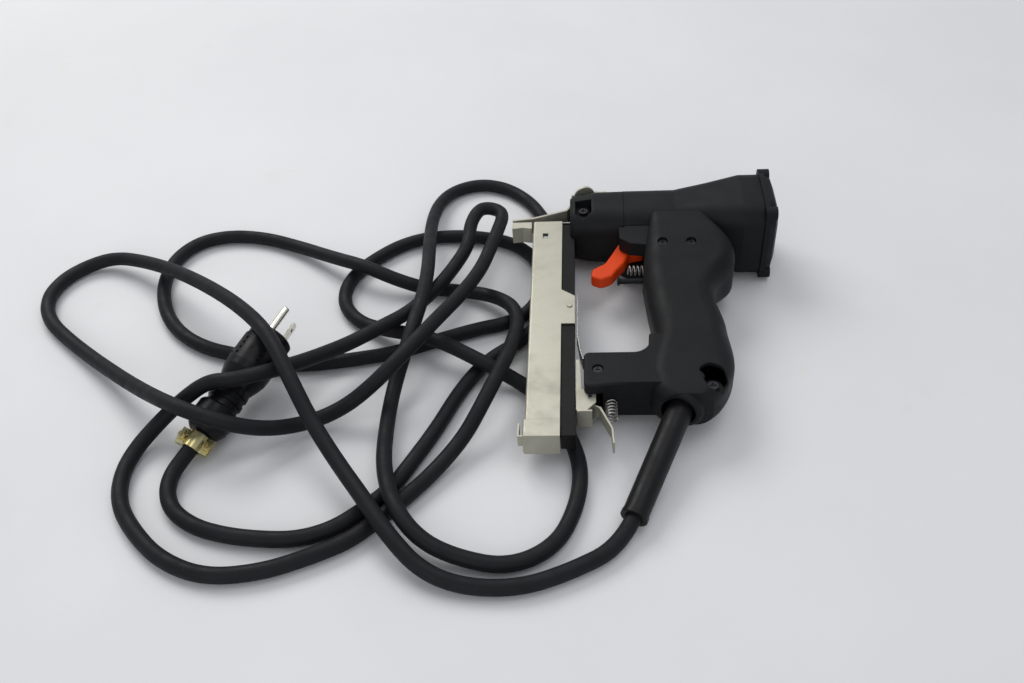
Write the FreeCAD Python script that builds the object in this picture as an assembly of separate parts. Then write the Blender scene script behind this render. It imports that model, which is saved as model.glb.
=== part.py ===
"""Corded electric stapler, laid on its side on a table, with its power cord and plug.

The tool is modelled in its own frame: X along the drive axis (nose towards -X, rear cap
towards +X), Y from the handle (-Y) to the front of the housing (+Y), Z across the two
handle shells, with their parting plane at Z = 0. rest() then lays it down: it turns a
little until it rests on its housing, and moves so that the origin is at the bottom
centre of the tool's box. The cord and the plug lie on the table in that final frame.
"""
import FreeCAD, Part
import math
import os

V = FreeCAD.Vector

# Driving dimensions of the tool, mm.
NOSE_TIP = -84.0           # where the staple leaves
BARREL_FRONT = -40.0
SEAM = 0.0                 # front barrel meets the main housing
HOUSING_REAR = 101.0
FLANGE = 4.0               # rear cap's flange thickness
DOME = 6.5                 # how far the cap bulges behind its flange
BARREL_HALF = (22.5, 24.0)    # half sizes across Y and Z
HOUSING_HALF = (23.0, 24.6)
REAR_HALF = (29.0, 32.0)
FLARE_START, FLARE_MID, FLARE_END = 38.0, 62.0, 86.0
FLARE_HALF = (25.6, 28.4)
WALL = 2.6

GRIP_HALF = 17.0           # half thickness of the grip across Z
BRIDGE_HALF = 15.5
BRIDGE_LEFT = -31.0
BRIDGE_TOP, BRIDGE_BOTTOM = -150.5, -182.0

MAG_X = (-68.0, -46.0)     # sleeve, from its closed edge to its open edge
MAG_HALF = 7.5
MAG_FRONT, MAG_REAR = -1.2, -203.0
SHEET = 0.9                # sheet metal of the magazine
CAP_LENGTH = 13.0
RAIL_X = (-45.6, -36.8)
RAIL_HALF = 6.2

BORE = 8.0                 # radius of the solenoid's bore
PLUNGER_GAP = 0.06         # radial running clearance
STROKE = 32.0
BLADE = (10.4, 1.2)        # width across Z, thickness across Y

TRIGGER_PIVOT = (9.0, -31.0)
TRIGGER_HALF = 5.0
PIN_R = 1.5
PIN_GAP = 0.05
LEVER_PIVOT = (-27.5, -183.5)

BOOT_START = (33.0, -178.0)
BOOT_TURN = 23.2           # degrees from -Y towards -X
BOOT_DROOP = 8.0           # degrees below the tool's middle plane
BOOT_LENGTH = 104.0
BOOT_R = (8.6, 8.0)
BOOT_INSIDE = 12.0         # how much of it is inside the handle

REST_TILT = 1.2            # degrees, front of the housing up
REST_ROLL = 3.6            # degrees, rear cap up

# The power cord and its plug, mm, in the final frame.
CORD_R = 5.0
ARC_SHARE = 0.45           # share of the shorter run that each bend takes
PLUG_YAW = 24.4            # degrees from +Y towards +X
PLUG_PITCH = 13.5          # degrees, prongs up
PLUG_ROLL = 10.0
PLUG_BODY_R = 15.5
PLUG_LENGTH = 94.0         # from the clamp to the front face
PRONG_LENGTH = 17.0
BLADE_GAP = 12.7           # between the two blades
GROUND_R = 2.38


# Shapes that several pieces use.

def box(x, y, z):
    """A box from (low, high) pairs."""
    return Part.makeBox(x[1] - x[0], y[1] - y[0], z[1] - z[0], V(x[0], y[0], z[0]))


def rod(start, end, r):
    start, end = V(*start), V(*end)
    return Part.makeCylinder(r, start.distanceToPoint(end), start, end - start)


def rounded(centre, across, up, half_a, half_u, r):
    """A rounded rectangle as a wire of four lines and four arcs."""
    c, a, u = V(*centre), V(*across), V(*up)
    r = min(r, half_a * 0.98, half_u * 0.98)
    edges = []
    corners = [(1, 1), (-1, 1), (-1, -1), (1, -1)]
    spots = []
    for i, (sa, su) in enumerate(corners):
        mid = c + a * (sa * (half_a - r)) + u * (su * (half_u - r))
        first, second = (a * sa, u * su) if i % 2 == 0 else (u * su, a * sa)
        spots.append((mid + first * r, mid + (first + second) * (r * math.sqrt(0.5)), mid + second * r))
    for i, (p, q, s) in enumerate(spots):
        edges.append(Part.Arc(p, q, s).toShape())
        edges.append(Part.LineSegment(s, spots[(i + 1) % 4][0]).toShape())
    return Part.Wire(edges)


def loft(wires, ruled=True):
    return Part.makeLoft(wires, True, ruled)


def prism(points, z, arc_at=()):
    """A closed outline in XY, extruded over the pair z. Corners named in arc_at are rounded: {index: radius}."""
    arc_at = dict(arc_at)
    n = len(points)
    edges, ends = [], []
    for i in range(n):
        p = V(points[i][0], points[i][1], z[0])
        before = V(points[i - 1][0], points[i - 1][1], z[0]) - p
        after = V(points[(i + 1) % n][0], points[(i + 1) % n][1], z[0]) - p
        if i in arc_at:
            half = before.getAngle(after) / 2
            cut = arc_at[i] / math.tan(half)
            before.normalize()
            after.normalize()
            a, b = p + before * cut, p + after * cut
            inward = (before + after).normalize()
            centre = p + inward * (arc_at[i] / math.sin(half))
            edges.append(Part.Arc(a, centre - inward * arc_at[i], b).toShape())
            ends.append((a, b))
        else:
            ends.append((p, p))
    for i in range(n):
        a, b = ends[i][1], ends[(i + 1) % n][0]
        if a.distanceToPoint(b) > 1e-6:
            edges.append(Part.LineSegment(a, b).toShape())
    wire = Part.Wire(Part.__sortEdges__(edges))
    return Part.Face(wire).extrude(V(0, 0, z[1] - z[0]))


def ribbon(path, thick, z):
    """Sheet metal: an open outline in XY given thickness to its left, extruded over the pair z."""
    left = []
    for i, p in enumerate(path):
        a = V(*path[max(i - 1, 0)])
        b = V(*path[min(i + 1, len(path) - 1)])
        run = (b - a).normalize()
        here = V(*p)
        side = V(-run.y, run.x, 0)
        if 0 < i < len(path) - 1:
            into = (here - a).normalize()
            side = side * (1 / max(0.3, side.dot(V(-into.y, into.x, 0))))
        left.append(here + side * thick)
    outline = [tuple(p)[:2] for p in path] + [(q.x, q.y) for q in reversed(left)]
    return prism(outline, z)


def spring(start, along, length, coil_r, wire_r, turns):
    helix = Part.makeHelix(length / turns, length, coil_r)
    profile = Part.Wire([Part.makeCircle(wire_r, V(coil_r, 0, 0), V(0, 1, length / turns / (2 * math.pi * coil_r)))])
    solid = Part.Wire(helix.Edges).makePipeShell([profile], True, True)
    turn = FreeCAD.Rotation(V(0, 0, 1), V(*along))
    solid.Placement = FreeCAD.Placement(V(*start), turn)
    return solid


def screw(head, along, length, r=1.5, head_r=3.0, head_h=2.0):
    """A pan-head screw with a cross recess. head is the top of its head, and along is the way it goes in."""
    head, along = V(*head), V(*along).normalize()
    solid = Part.makeCylinder(head_r, head_h, head, along)
    try:
        solid = solid.makeFillet(0.5, [solid.Edges[0]])
    except Exception:
        pass
    solid = solid.fuse(Part.makeCylinder(r, length, head + along * head_h, along))
    turn = FreeCAD.Rotation(V(0, 0, 1), along)
    for a in (0, 90):
        slot = Part.makeBox(head_r * 1.2, 0.8, 1.2, V(-head_r * 0.6, -0.4, -0.2))
        slot.rotate(V(0, 0, 0), V(0, 0, 1), a)
        slot.Placement = FreeCAD.Placement(head, turn).multiply(slot.Placement)
        solid = solid.cut(slot)
    return solid


def fillet(solid, r, pick):
    """Rounds the edges that pick says yes to, and leaves the solid as it is if they can't be rounded."""
    edges = [e for e in solid.Edges if pick(e)]
    try:
        done = solid.makeFillet(r, edges)
        return done if done.isValid() and done.Solids else solid
    except Exception:
        print("no fillet of", r, "on", len(edges), "edges")
        return solid


def along_axis(axis):
    """True for straight edges that run along the given axis: 0, 1 or 2."""
    def pick(e):
        d = e.lastVertex().Point - e.firstVertex().Point
        return e.Length > 0.1 and abs(abs(d[axis]) - e.Length) < 1e-6
    return pick


def fuse(first, *others):
    whole = first.multiFuse(list(others)) if others else first
    return whole.removeSplitter()


# Casings.

def yz(x, half, r):
    return rounded((x, 0, 0), (0, 1, 0), (0, 0, 1), half[0], half[1], r)


def housing_form(grow):
    """The main housing's outside, grown by grow."""
    sections = [(SEAM, HOUSING_HALF, 17), (FLARE_START, HOUSING_HALF, 17), (FLARE_MID, FLARE_HALF, 17),
                (FLARE_END, REAR_HALF, 16), (HOUSING_REAR, REAR_HALF, 16)]
    return loft([yz(x, (h[0] + grow, h[1] + grow), max(2, r + grow)) for x, h, r in sections])


def main_housing():
    shell = housing_form(0).cut(housing_form(-WALL))
    ends = box((SEAM + 2.6, HOUSING_REAR + 1), (-12, 12), (-12, 12))
    wires = box((24, 50), (-40, -10), (-9, 9))
    shell = shell.cut(ends).cut(wires)
    return shell


def front_barrel():
    nose = (BARREL_HALF[0] - 4.5, BARREL_HALF[1] - 4.5)
    sections = [(BARREL_FRONT, nose, 12), (BARREL_FRONT + 2.5, (20.0, 21.4), 14), (BARREL_FRONT + 18, BARREL_HALF, 16),
                (SEAM - 0.15, (22.9, 24.5), 17)]
    solid = loft([yz(*section) for section in sections])
    room = loft([yz(BARREL_FRONT + 6, (15, 15), 8), yz(SEAM + 1, (19.5, 20.5), 9)])
    solid = solid.cut(room)
    slot = box((BARREL_FRONT - 1, BARREL_FRONT + 8), (-1.2, 1.2), (-6.2, 6.2))
    solid = solid.cut(slot)
    for z in (-1, 1):
        pocket = [(-36, 4), (-24, 4), (-24, -11), (-30, -16), (-36, -11)]
        well = prism(pocket, sorted((z * 16.5, z * 30)))
        solid = solid.cut(well).cut(rod((-30, -4, z * 30), (-30, -4, z * 11), 1.6))
        solid = solid.cut(box((-26, -6), (17.2, 18.8), sorted((z * 14, z * 30))))
    for x, z in NOSE_SCREWS:
        solid = solid.cut(rod((x, 30, z), (x, 12, z), 1.6))
    solid = solid.cut(box((RAIL_X[0] - 3, RAIL_X[1] + 0.3), (-30, -3.6), (-6.6, 6.6)))
    return solid.cut(nose_plate())


def end_cap():
    x = HOUSING_REAR + 0.1
    half = (REAR_HALF[0] + 1, REAR_HALF[1] + 1)
    flange = loft([yz(x, half, 17), yz(x + FLANGE, half, 17)])
    dome = loft([yz(x + FLANGE, (half[0] - 1, half[1] - 1), 16), yz(x + FLANGE + 4, (half[0] - 3, half[1] - 3), 15),
                 yz(x + FLANGE + DOME, (half[0] - 9, half[1] - 9), 12)])
    cap = flange.fuse(dome)
    for y, z in CAP_SCREWS:
        cap = cap.fuse(rod((x + 0.2, y, z), (x + FLANGE + 4.4, y, z), 5.2))
    room = loft([yz(x - 1, (half[0] - 8, half[1] - 8), 12), yz(x + FLANGE + DOME - 3, (half[0] - 12, half[1] - 12), 10)])
    cap = cap.cut(room).removeSplitter()
    for y, z in CAP_SCREWS:
        cap = cap.cut(rod((x + FLANGE + 2.4, y, z), (x + 30, y, z), 3.2)).cut(rod((x - 2, y, z), (x + 30, y, z), 1.55))
    for y in (-12, -4, 4, 12):
        cap = cap.cut(box((x + FLANGE + DOME - 4, x + 30), (y - 1.2, y + 1.2), (-13, 13)))
    return cap


CAP_SCREWS = [(y, z) for y in (-23.6, 23.6) for z in (-26.6, 26.6)]
NOSE_SCREWS = [(x, z) for x in (-32.0, -20.0) for z in (-11.0, 11.0)]


def end_cap_screws():
    x = HOUSING_REAR + FLANGE + 4.55
    return [screw((x, y, z), (-1, 0, 0), 9.5 - 4.5) for y, z in CAP_SCREWS]


# The two handle shells. Each section is y, low x, high x, half thickness, corner radius.
GRIP = [
    (-17.0, 19.0, 58.0, 26.6, 5.0), (-26.0, 17.5, 64.0, 26.6, 7.0), (-40.0, 15.0, 73.0, 26.2, 10.0),
    (-54.0, 13.0, 77.0, 24.6, 12.0), (-66.0, 12.0, 73.0, 21.5, 13.0), (-80.0, 12.5, 62.5, 18.4, 13.0),
    (-98.0, 13.5, 60.5, 17.2, 13.0), (-122.0, 16.0, 64.5, 17.0, 13.0), (-142.0, 13.0, 66.0, 17.0, 13.0),
    (-160.0, 9.0, 65.5, 17.0, 12.5), (-176.0, 10.0, 60.0, 16.6, 12.0), (-188.0, 18.0, 50.0, 14.6, 10.0),
]


def grip_form(inset):
    wires = []
    for i, (y, low, high, half, r) in enumerate(GRIP):
        low, high, half, r = low + inset, high - inset, half - inset, max(2.0, r - inset)
        if i == len(GRIP) - 1:
            y += inset
        if i == 0 and inset:
            y += 2
        wires.append(rounded(((low + high) / 2, y, 0), (1, 0, 0), (0, 0, 1), (high - low) / 2, half, r))
    return loft(wires, ruled=False)


def bridge_form(inset):
    left, top, low, half = BRIDGE_LEFT + inset, BRIDGE_TOP - inset, BRIDGE_BOTTOM + inset, BRIDGE_HALF - inset
    outline = [(left, top), (12 + inset, top), (12 + inset, top + 16), (30, top + 16), (30, low + 3.5), (2, low + 3.5),
               (left, low)]
    solid = prism(outline, (-half, half), {0: 4, 1: 11, 6: 4})
    if not inset:
        solid = fillet(solid, 2.0, lambda e: abs(abs(e.CenterOfMass.z) - half) < 0.01 and e.CenterOfMass.x < 10)
    return solid


def boot_frame():
    """Where the boot starts and which way it runs, in the tool's frame."""
    turn, droop = math.radians(BOOT_TURN), math.radians(BOOT_DROOP)
    way = V(-math.sin(turn) * math.cos(droop), -math.cos(turn) * math.cos(droop), -math.sin(droop))
    return V(BOOT_START[0], BOOT_START[1], 0), way


def flat_way():
    turn = math.radians(BOOT_TURN)
    return V(-math.sin(turn), -math.cos(turn), 0)


def collar_form():
    start, _ = boot_frame()
    way = flat_way()
    collar = Part.makeCone(16.0, 14.6, 26, start - way * 14, way)
    return fillet(collar, 3.0, lambda e: abs(e.CenterOfMass.distanceToPoint(start + way * 12)) < 0.5)


SHELL_SCREWS = [((26.0, -50.0), 24.6), ((46.0, -50.5), 24.6), ((-22.0, -166.0), 15.0)]
HEEL_SCREW = (50.0, -176.0)


def handle_shell(side):
    """One half of the handle: side is 1 for the upper shell and -1 for the lower."""
    outside = grip_form(0).fuse(bridge_form(0)).fuse(collar_form())
    outside = outside.fuse(trigger_ears())
    room = grip_form(2.8).fuse(bridge_form(2.8))
    half = box((-60, 110), (-230, 10), sorted((side * 0.04, side * 60)))
    shell = outside.cut(room).common(half)
    bosses = []
    for (x, y), top in SHELL_SCREWS:
        bosses.append(rod((x, y, side * 0.04), (x, y, side * (top - 1.5)), 4.8))
    x, y = HEEL_SCREW
    bosses.append(rod((x, y, side * 0.04), (x, y, side * 12.0), 6.5).common(grip_form(1.0)))
    shell = shell.fuse(bosses).removeSplitter()
    shell = shell.cut(housing_form(0.12)).cut(box((-8, 0.2), (-23.4, 20), (-40, 40)))
    shell = shell.cut(box((24, 50), (-26, 0), (-9, 9)))
    for (x, y), top in SHELL_SCREWS:
        if side > 0:
            shell = shell.cut(rod((x, y, top - 2.6), (x, y, 40), 3.6)).cut(rod((x, y, -1), (x, y, 40), 1.7))
        else:
            shell = shell.cut(rod((x, y, 1), (x, y, -top + 4), 1.56))
    x, y = HEEL_SCREW
    if side > 0:
        teardrop = prism([(x - 9.5, y + 8), (x - 2, y + 13), (x + 7, y + 9), (x + 9.5, y + 1), (x + 4, y - 8), (x - 4, y - 8)],
                         (7.0, 40), {0: 5, 1: 5, 2: 5, 3: 5, 4: 4, 5: 4})
        shell = shell.cut(teardrop).cut(rod((x, y, -1), (x, y, 40), 1.7))
    else:
        shell = shell.cut(rod((x, y, 1), (x, y, -10), 1.56))
    start, way = boot_frame()
    shell = shell.cut(Part.makeCone(9.4, 11.0, 30, start - flat_way() * 14, flat_way()))
    shell = shell.cut(rod(tuple(start - way * 22), tuple(start - way * 12), 10.0))
    shell = shell.cut(trigger_room()).cut(rod((*TRIGGER_PIVOT, -14.5), (*TRIGGER_PIVOT, 14.5), PIN_R))
    shell = shell.cut(rod((15, SPRING_Y, 0), (2, SPRING_Y, 0), 5.0))
    shell = shell.cut(box((-40, -19), (-195, -176.0), (-8.0, 8.0)))
    shell = shell.cut(spring_seat()).cut(rod((5, SWITCH_Y, 0), (24, SWITCH_Y, 0), 2.4))
    pieces = sorted(shell.Solids, key=lambda s: -s.Volume)
    return pieces[0]


SPRING_Y = -52.0
SWITCH_Y = -64.0


def trigger_ears():
    """The front of the handle that reaches under the housing and holds the trigger's pin."""
    return prism([(-4.0, -22.0), (26, -22.0), (26, -44), (14, -44), (3, -42), (-4.0, -36)], (-17.5, 17.5), {3: 4, 4: 3, 5: 3})


def trigger_room():
    return box((-5, 18), (-46, -20), (-TRIGGER_HALF - 1.2, TRIGGER_HALF + 1.2))


def spring_seat():
    return box((11, 17.5), (SPRING_Y - 5, SPRING_Y + 5), (-5, 5))


def handle_screws():
    group = [screw((x, y, top - 0.6), (0, 0, -1), top + 8) for (x, y), top in SHELL_SCREWS]
    x, y = HEEL_SCREW
    group.append(screw((x, y, 9.1), (0, 0, -1), 14.0, head_r=3.6))
    return group


# Trigger and switch.

def trigger():
    x, y = TRIGGER_PIVOT
    half = TRIGGER_HALF
    outline = [(x - 13, y + 5), (x + 5, y + 5), (x + 5.5, y - 5), (x - 6, y - 8), (x - 10, y - 18), (x - 15, y - 25),
               (x - 19, y - 32), (x - 27, y - 36), (x - 34.5, y - 32), (x - 33, y - 24), (x - 24, y - 18), (x - 19, y - 8)]
    solid = prism(outline, (-half, half), {0: 3, 1: 3, 2: 4, 3: 5, 6: 6, 7: 5, 8: 4, 9: 4, 10: 8, 11: 10})
    solid = fillet(solid, 1.8, lambda e: abs(abs(e.CenterOfMass.z) - half) < 0.01)
    return solid.cut(rod((x, y, -10), (x, y, 10), PIN_R + PIN_GAP))


def trigger_pin():
    return rod((*TRIGGER_PIVOT, -14.4), (*TRIGGER_PIVOT, 14.4), PIN_R)


def trigger_spring():
    return spring((1.6, SPRING_Y, 0), (1, 0, 0), 14.8, 3.4, 0.55, 5)


def switch_body():
    body = box((24, 46), (-96, -58.5), (-9, 9))
    return fillet(body, 1.2, along_axis(2)).cut(rod((20, SWITCH_Y, 0), (42, SWITCH_Y, 0), 2.08))


def switch_plunger():
    """Reaches from the switch through the grip's front to the trigger's back."""
    return fuse(rod((-5.0, SWITCH_Y, 0), (31, SWITCH_Y, 0), 2.0), rod((-6.3, SWITCH_Y, 0), (-4.8, SWITCH_Y, 0), 3.0))


def control_board():
    board = box((22, 48), (-140, -104), (-0.8, 0.8))
    parts = [rod((30, -112, 0.7), (30, -112, 8), 4), box((38, 45), (-122, -110), (0.7, 6)), box((26, 34), (-136, -124), (0.7, 4)),
             rod((42, -131, 0.7), (42, -131, 9), 3)]
    return fuse(board, *parts)


# Solenoid and drive.

def yoke():
    tube = rod((7, 0, 0), (84, 0, 0), 19.2).cut(rod((9.5, 0, 0), (85, 0, 0), 17.2))
    return tube.cut(rod((0, 0, 0), (12, 0, 0), BORE + 0.6))


def yoke_plate():
    plate = rod((84.1, 0, 0), (87.6, 0, 0), 19.2)
    stop = rod((78.0, 0, 0), (84.2, 0, 0), BORE - 0.6)
    return fuse(plate, stop)


def coil_bobbin():
    tube = rod((9.7, 0, 0), (83.9, 0, 0), BORE + 1.5)
    for x in (9.7, 82.1):
        tube = tube.fuse(rod((x, 0, 0), (x + 1.8, 0, 0), 17.0))
    return tube.removeSplitter().cut(rod((9, 0, 0), (85, 0, 0), BORE + PLUNGER_GAP))


def coil_winding():
    return rod((11.6, 0, 0), (82.0, 0, 0), 16.4).cut(rod((11, 0, 0), (83, 0, 0), BORE + 1.6))


def plunger():
    body = rod((30, 0, 0), (77.5, 0, 0), BORE)
    return body.cut(box((29, 38), (-0.65, 0.65), (-5.3, 5.3)))


def driver_blade():
    half = BLADE[0] / 2
    return box((-46.2, 37.9), (-BLADE[1] / 2, BLADE[1] / 2), (-half, half))


def return_spring():
    return spring((-31.5, 0, 0), (1, 0, 0), 60.5, 6.9, 0.6, 10)


def bumper():
    ring = rod((-33.9, 0, 0), (-32.3, 0, 0), 12.5)
    return ring.cut(box((-35, -31), (-1.2, 1.2), (-6.2, 6.2)))


# Nose.

def nose_plate():
    """Front plate of the nose: flat over the blade, then flared out and screwed to the barrel's front."""
    path = [(NOSE_TIP, 0.9), (-68, 3.2), (-42.5, 12.4), (-38.2, 19.6), (-26, 22.85), (-12, 22.95)]
    plate = ribbon(path, 1.6, (-22.0, 22.0))
    for z in (-1, 1):
        ear = rod((-29, 40, z * 13.2), (-29, 0, z * 13.2), 8.0)
        side = box((-90, 0), (-10, 40), sorted((z * 15.5, z * 30))).cut(ear)
        blade = box((-90, -39), (-10, 40), sorted((z * 7.0, z * 30)))
        plate = plate.cut(side).cut(blade)
    for x, z in NOSE_SCREWS:
        plate = plate.cut(rod((x, 40, z), (x, 10, z), 1.7))
    return plate


def nose_guide():
    """The channel that holds the staple in line: a back and two cheeks behind the nose plate."""
    back = ribbon([(NOSE_TIP, -8.6), (-76, -7.4), (-70.5, -8.6), (-69.2, -8.6)], 1.4, (-6.9, 6.9))
    cheeks = [box((NOSE_TIP, -69.2), (-7.4, -0.8), z) for z in ((-6.9, -5.6), (5.6, 6.9))]
    heel = box((NOSE_TIP + 1, -69.2), (-7.3, -1.3), (-4.6, 4.6))
    return fuse(back, *cheeks, heel)


def nose_screws():
    group = []
    for x, z in NOSE_SCREWS:
        y = 24.85 if x > -26 else 23.5
        group.append(screw((x, y + 2.1, z), (0, -1, 0), 8.5))
    return group


def barrel_screws():
    return [screw((-30, -4, z * 18.7), (0, 0, -z), 6.0, head_r=3.4) for z in (-1, 1)]


# Magazine.

def magazine_sleeve():
    """A sheet channel open towards the rail, with a wider lug near its middle and a small window."""
    x = (MAG_X[0], MAG_X[1])
    outside = fillet(box(x, (MAG_REAR, MAG_FRONT), (-MAG_HALF, MAG_HALF)), 1.6,
                     lambda e: along_axis(1)(e) and e.CenterOfMass.x < x[0] + 0.1)
    inner = MAG_HALF - SHEET
    sleeve = outside.cut(box((x[0] + SHEET, x[1] + 5), (MAG_REAR - 1, MAG_FRONT + 1), (-inner, inner)))
    lug = [(x[1] - 3, -80), (x[1], -80), (-36.6, -87), (-36.6, -115), (x[1], -115), (x[1] - 3, -115)]
    for z in ((-MAG_HALF, -inner), (inner, MAG_HALF)):
        sleeve = sleeve.fuse(prism(lug, z))
    sleeve = sleeve.removeSplitter()
    window = box((-60.5, -56.5), (-22, -15.5), (0, 12))
    return sleeve.cut(window).cut(rod((-40.4, -97, -9), (-40.4, -97, 9), 1.92))


def magazine_rail():
    """The fixed bar that carries the sleeve, with a stepped end block."""
    half = RAIL_HALF
    bar = box(RAIL_X, (-208, -4), (-half, half))
    rib = box((RAIL_X[0] - 2.4, RAIL_X[0] + 1), (-196, -6), (-3.4, 3.4))
    groove = box((RAIL_X[1] - 3.2, RAIL_X[1] + 1), (-176, -14), (-1.6, 1.6))
    block = box((RAIL_X[0] + 0.2, RAIL_X[1] + 0.6), (-214, -190), (-6.4, 6.4))
    arm = box((-64.5, RAIL_X[0] + 1), (-206, -196.05), (-4.5, 4.5))
    rail = fuse(bar, rib, block, arm).cut(groove)
    for z in (-2.6, 2.6):
        rail = rail.cut(rod((-57.75, -207, z), (-57.75, -195, z), 1.12))
    return rail


def staple_track():
    """The bar that the staples straddle, with an open slot for the pusher's heel and spring."""
    track = box((-64.5, -51.0), (-196, -2.0), (-4.5, 4.5))
    room = box((-61.5, -49.0), (-194, -66), (-3.6, 3.6))
    track = track.cut(room)
    for z in (-2.6, 2.6):
        track = track.cut(rod((-57.75, -197, z), (-57.75, -193, z), 1.12))
    return track


def rail_screws():
    """They hold the staple track to the rail's rear arm."""
    return [screw((-57.75, -207.4, z), (0, 1, 0), 11.6, r=1.1, head_r=2.2, head_h=1.3) for z in (-2.6, 2.6)]


def staple_strip():
    crown = box((-50.7, -49.5), (-60, -1.4), (-5.7, 5.7))
    legs = [box((-64.0, -50.0), (-60, -1.4), z) for z in ((-5.7, -4.7), (4.7, 5.7))]
    strip = fuse(crown, *legs)
    for i in range(1, 14):
        y = -60 + i * 4.2
        strip = strip.cut(box((-49.7, -49.4), (y, y + 0.25), (-6, 6)))
    return strip


def pusher():
    saddle = box((-64.0, -49.5), (-75, -60.2), (-5.8, 5.8))
    saddle = saddle.cut(box((-65, -50.8), (-80, -50), (-4.65, 4.65)))
    heel = box((-60.5, -55.0), (-75, -71), (-3.4, 3.4))
    return fuse(saddle, heel, box((-55.5, -49.6), (-75, -71), (-2, 2)))


def pusher_spring():
    """Coil that drives the pusher forward, compressed between it and the track's rear wall."""
    return spring((-57.75, -193.2, 0), (0, 1, 0), 117.5, 2.2, 0.3, 26)


def magazine_end_cap():
    x = (MAG_X[0] - 1.0, MAG_X[1] + 0.1)
    y = (MAG_REAR - CAP_LENGTH, MAG_REAR + 0.6)
    half = MAG_HALF + 1.1
    cap = fillet(box(x, y, (-half, half)), 1.4, lambda e: along_axis(1)(e) and e.CenterOfMass.x < x[0] + 0.1)
    room = box((x[0] + 0.95, x[1] + 3), (y[0] + 1.0, y[1] + 3), (-half + 1.05, half - 1.05))
    cap = cap.cut(room)
    hook = box((x[0] - 3.4, x[0] + 0.4), (y[1] - 10.5, y[1] + 0.5), (-4.5, 4.5))
    hook = hook.cut(box((x[0] - 2.4, x[0] + 0.1), (y[1] - 9.4, y[1] + 2), (-6, 6)))
    return fuse(cap, hook)


def magazine_rivets():
    return [fuse(rod((-40.4, -97, z * 6.62), (-40.4, -97, z * 8.3), 1.9)) for z in (-1, 1)]


# Latch.

def leaf_spring():
    path = [(-35.4, -82), (-35.0, -112), (-35.4, -124), (-33.6, -138), (-31.6, -147)]
    return ribbon(path, 0.8, (-5, 5))


def latch_bracket():
    """The formed plate between the rail's end and the handle's bridge, with ears for the lever's pin."""
    web = box((-36.0, -34.6), (-194, -150), (-7.5, 7.5))
    x, y = LEVER_PIVOT
    outline = [(-36.0, -150), (-34.0, -150), (-33.0, -158), (-32.5, -176), (x + 4, y + 3.5), (x + 4, y - 4), (-29, -194), (-36.0, -194)]
    cheeks = [prism(outline, z) for z in ((-7.5, -6.3), (6.3, 7.5))]
    foot = box((-35.5, -26.0), (-195.2, -194.0), (-7.5, 7.5))
    bracket = fuse(web, *cheeks, foot)
    return bracket.cut(rod((x, y, -9), (x, y, 9), PIN_R))


def release_lever():
    x, y = LEVER_PIVOT
    path = [(x - 4.5, y - 4.6), (x + 1, y - 4.2), (x + 6, y - 7), (-14.5, -207), (-13.8, -219)]
    arm = ribbon(path, 1.2, (-5.0, 5.0))
    barrel = rod((x, y, -5.9), (x, y, 5.9), 3.4)
    lever = fuse(arm, barrel, box((x - 2.0, x + 2.0), (y - 4.4, y), (-5.0, 5.0)))
    return lever.cut(rod((x, y, -9), (x, y, 9), PIN_R + PIN_GAP))


def lever_pin():
    return rod((*LEVER_PIVOT, -8.2), (*LEVER_PIVOT, 8.2), PIN_R)


def latch_spring():
    return spring((-14.0, -195.2, 0), (0, 1, 0), 13.2, 3.6, 0.55, 5)


# Cord entry.

def strain_relief():
    start, way = boot_frame()
    first, last = start - way * BOOT_INSIDE, start + way * (BOOT_LENGTH - BOOT_INSIDE)
    boot = Part.makeCone(BOOT_R[0], BOOT_R[1], BOOT_LENGTH, first, way)
    bead = Part.makeCylinder(BOOT_R[1] + 0.5, 3.0, last - way * 3.0, way)
    bead = bead.makeFillet(0.45, bead.Edges[:1])
    boot = boot.fuse(bead).removeSplitter()
    boot = boot.cut(Part.makeCylinder(CORD_R + 0.5, BOOT_MOUTH + 1, last - way * BOOT_MOUTH, way))
    return boot


BOOT_MOUTH = 6.0


def cord_gland():
    """The block that clamps the cord inside the handle, where the strain relief starts."""
    start, way = boot_frame()
    return Part.makeCylinder(6.5, 7.5, start - way * (BOOT_INSIDE + 7.6), way)


# The power cord and its plug, in the final frame.

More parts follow.
